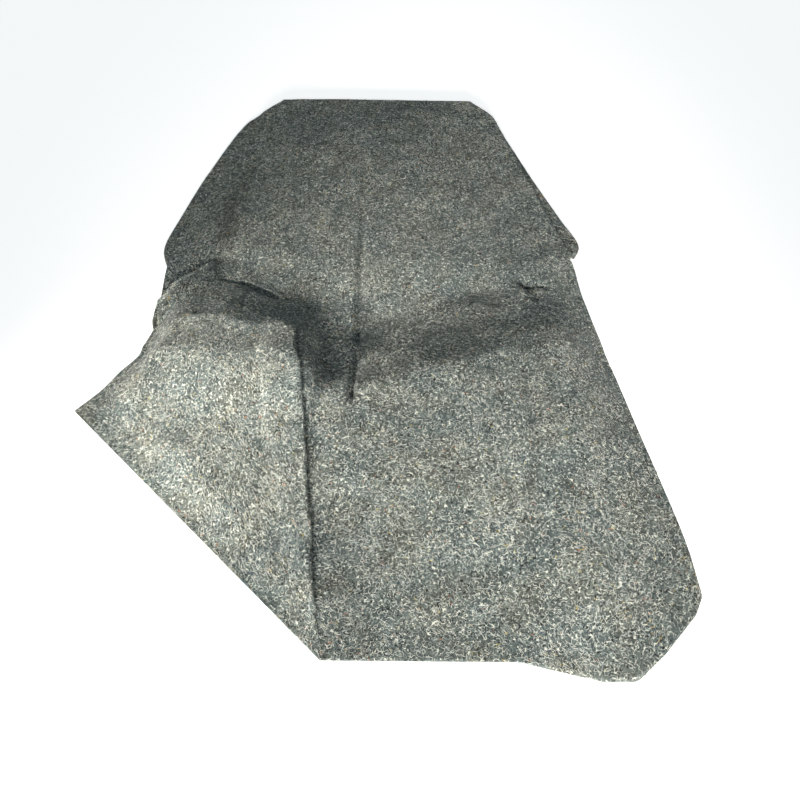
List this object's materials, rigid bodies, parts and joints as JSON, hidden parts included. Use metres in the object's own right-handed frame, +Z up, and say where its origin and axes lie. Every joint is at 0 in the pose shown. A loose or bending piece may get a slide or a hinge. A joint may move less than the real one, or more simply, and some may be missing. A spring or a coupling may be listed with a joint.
{
  "type": "moving blanket",
  "caption": "Felt moving blanket laid out on a surface in soft, uneven folds, for padding and covering furniture in transit.",
  "frame": {"origin": "middle of the laid-out blanket's outline, on the surface it lies on", "axes": "+X to the right and +Y from the front hem to the turned-under far end, +Z up off the surface"},
  "size_m": [1.0421, 1.4561, 0.1027],
  "materials": {
    "felt": "matte needled felt of mixed grey recycled fibres"
  },
  "bodies": {
    "root": {"blanket": "felt"}
  },
  "joints": []
}
